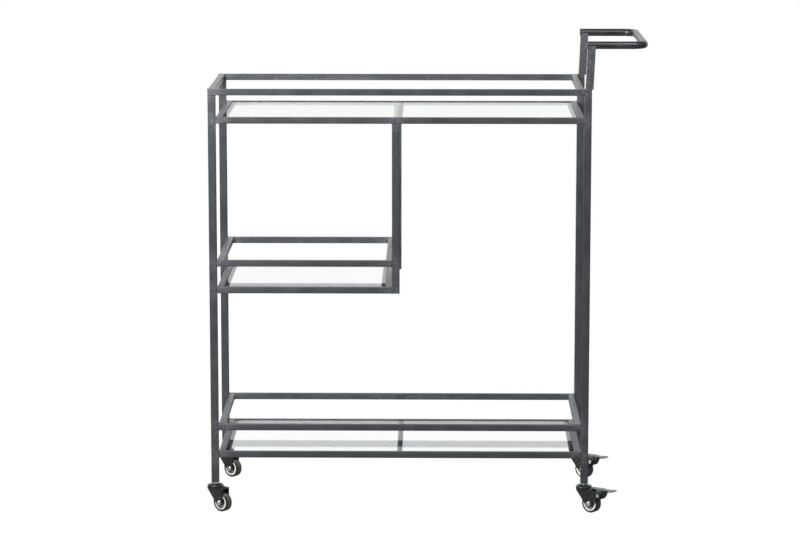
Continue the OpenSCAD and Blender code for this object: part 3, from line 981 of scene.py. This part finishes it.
def joined(name, meshes):
    """One mesh from several."""
    shape = bmesh.new()
    for mesh in meshes:
        shape.from_mesh(mesh)
    whole = bpy.data.meshes.new(name)
    shape.to_mesh(whole)
    shape.free()
    return whole


AXLE_TURN = Matrix.Rotation(math.pi / 2, 4, "X")
NEAR_SIDE = 1.0


def wheel_matrix(where):
    """Profile heights run along the axle, towards the side with the bolt head."""
    return caster_matrix(where) @ Matrix.Translation(AXLE_POINT) @ AXLE_TURN


# %% [markdown]
# ## Tyres
# The tyre is moulded rubber with round shoulders, a fine moulding line round
# its middle, and a step where it laps the rim. Its sides stay shiny, while the
# tread picks up dust from the floor, so the tread has a finish of its own.

# %% Tyres
WHEEL_R = AXLE_POINT.z
TREAD_R = WHEEL_R - 0.6 * MM
TREAD_HALF = 6.2 * MM


def in_mm(points):
    return [tuple(v * MM for v in point) for point in points]


TYRE_OUTLINE = rounded_outline(in_mm([
    (16.0, -7.9, 0.3), (17.1, -8.5, 0.5), (20.0, -7.4, 3.0), (19.93, -0.5, 0.2), (20.0, 0, 0.1),
    (19.93, 0.5, 0.2), (20.0, 7.4, 3.0), (17.1, 8.5, 0.5), (16.0, 7.9, 0.3)]), steps=6)

for where in CASTERS:
    mesh = turned("tyre_" + where, TYRE_OUTLINE, wheel_matrix(where), 96)
    make_piece("tyre_rubber_" + where, mesh, "wheel_" + where,
               [TYRE_RUBBER, TYRE_TREAD], ["tyre_" + where])
    back = wheel_matrix(where).inverted()
    for face in mesh.polygons:
        local = back @ face.center
        tread = math.hypot(local.x, local.y) > TREAD_R and abs(local.z) < TREAD_HALF
        face.material_index = 1 if tread else 0

# %% [markdown]
# ## Hubs
# The hub is one white moulding: a rim, a thin web and a boss. A dark bush lines
# the boss, so faces close to the axle take the black plastic.

# %% Hubs
HUB_OUTLINE = rounded_outline(in_mm([
    (3.06, -9.7, 0.2), (7.0, -9.7, 0.5), (7.4, -2.6, 0.6), (12.4, -2.6, 0.8), (12.6, -7.5, 0.5),
    (15.9, -7.5, 0.5), (15.9, 7.5, 0.5), (12.6, 7.5, 0.5), (12.4, 2.6, 0.8), (7.4, 2.6, 0.6),
    (7.0, 9.7, 0.5), (3.06, 9.7, 0.2)]))
BUSH_R = 8.4 * MM

for where in CASTERS:
    mesh = turned("hub_" + where, HUB_OUTLINE, wheel_matrix(where))
    make_piece("hub_moulding_" + where, mesh, "wheel_" + where,
               [HUB_PLASTIC, BLACK_PLASTIC], ["hub_" + where])
    back = wheel_matrix(where).inverted()
    for face in mesh.polygons:
        local = back @ face.center
        face.material_index = 1 if math.hypot(local.x, local.y) < BUSH_R else 0

# %% [markdown]
# ## Axle bolts
# The head is a shallow dome with a flange, bright zinc, and a nut closes the
# far side. Both are drawn from their own profiles, with their edges eased.

# %% Axle bolts
BOLT_OUTLINE = rounded_outline(in_mm([
    (0.0, -15.0, 0), (3.0, -15.0, 0.3), (3.0, 12.0, 0), (5.6, 12.0, 0.3), (5.55, 12.9, 0.5),
    (4.2, 14.6, 1.0), (2.2, 15.35, 0.6), (0.0, 15.4, 0)]))
NUT_OUTLINE_R = 5.6 * MM


def nut_mesh(name, matrix, radius, low, high):
    """A six-sided nut between two heights, with its corners eased."""
    points, faces = [], []
    for height, share in ((low, 0.9), (low + 0.5 * MM, 1.0), (high, 1.0)):
        for side in range(6):
            angle = side * math.pi / 3
            points.append(matrix @ Vector((radius * share * math.cos(angle),
                                           radius * share * math.sin(angle), height)))
    faces.append(tuple(range(5, -1, -1)))
    faces.append(tuple(range(12, 18)))
    for ring in (0, 6):
        for side in range(6):
            nxt = (side + 1) % 6
            faces.append((ring + side, ring + nxt, ring + 6 + nxt, ring + 6 + side))
    mesh = bpy.data.meshes.new(name)
    mesh.from_pydata(points, [], faces)
    return mesh


for where in CASTERS:
    place = wheel_matrix(where)
    bolt = turned("bolt", BOLT_OUTLINE, place, 40)
    nut = nut_mesh("nut", place, NUT_OUTLINE_R, -15 * MM, -12.05 * MM)
    make_piece("axle_bolt_" + where, joined("axle_" + where, [bolt, nut]), "swivel_" + where,
               [ZINC], ["axle_" + where])

# %% [markdown]
# ## Forks
# The fork is one blank of steel folded down on both sides. Its CAD shape has
# the right outline, and a bevel of half a millimetre gives the folded look.

# %% Forks
for where in CASTERS:
    mesh = softened("fork_" + where, 0.5 * MM, segments=2)
    make_piece("fork_steel_" + where, mesh, "swivel_" + where, [BLACK_STEEL],
               ["fork_" + where])

# %% [markdown]
# ## Caps and stems
# Four dished caps cover the races. Each is pressed from sheet, so its rim rolls
# over. The stems show as a bright hexagon under each post.

# %% Caps and stems
CAP_LOW, CAP_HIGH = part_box("caster_caps")
STEM_LOW, STEM_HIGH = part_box("caster_stems")
CAP_OUTLINE = rounded_outline(in_mm([
    (4.05, 6.0, 0.2), (9.5, 6.0, 1.2), (15.0, 4.4, 1.6), (17.4, 2.4, 1.2), (17.4, 0.0, 0.4),
    (15.2, 0.0, 0.3), (13.5, 1.8, 0.8), (4.05, 2.6, 0.2)]))
HEX_OUTLINE_R = 8.0 * MM


def caster_axis(where, height):
    return caster_matrix(where) @ Matrix.Translation((0, 0, height))


caps = [turned("cap", CAP_OUTLINE, caster_axis(w, CAP_LOW.z)) for w in CASTERS]
make_piece("race_caps", joined("race_caps", caps), "frame", [BLACK_STEEL],
           ["caster_caps"])


def stem_mesh(where):
    low, high = STEM_LOW.z / MM, STEM_HIGH.z / MM
    shank = rounded_outline(in_mm([
        (0, low, 0), (6.3, low, 0.8), (6.5, low + 1.4, 0.5), (5.0, low + 2.5, 0.4),
        (4.0, low + 2.6, 0.1), (4.0, high, 0.6), (0, high, 0)]))
    body = turned("stem", shank, caster_axis(where, 0), 40)
    hexagon = nut_mesh("hexagon", caster_matrix(where), HEX_OUTLINE_R,
                       CAP_HIGH.z + 0.02 * MM, CAP_HIGH.z + 3.5 * MM)
    return joined("stem_" + where, [body, hexagon])


make_piece("stems", joined("stems", [stem_mesh(w) for w in CASTERS]), "frame",
           [ZINC], ["caster_stems"])
inserts = softened("post_inserts", 0.3 * MM)
make_piece("inserts", inserts, "frame", [BLACK_PLASTIC], ["post_inserts"])

# %% [markdown]
# ## Foot brakes
# On the handle end each fork carries a pedal of folded grey steel, a black shoe
# between its ears and a rivet through both.

# %% Foot brakes
for side in ("front", "back"):
    where = side + "_right"
    pedal = softened("brake_pedal_" + side, 0.4 * MM)
    make_piece("pedal_" + side, pedal, "brake_" + where, [PEDAL_STEEL],
               ["brake_pedal_" + side])
    shoe = softened("brake_shoe_" + side, 0.6 * MM)
    make_piece("shoe_" + side, shoe, "brake_" + where, [BLACK_PLASTIC],
               ["brake_shoe_" + side])
    rivet = softened("brake_rivet_" + side, 0.5 * MM)
    make_piece("rivet_" + side, rivet, "swivel_" + where, [ZINC],
               ["brake_rivet_" + side])
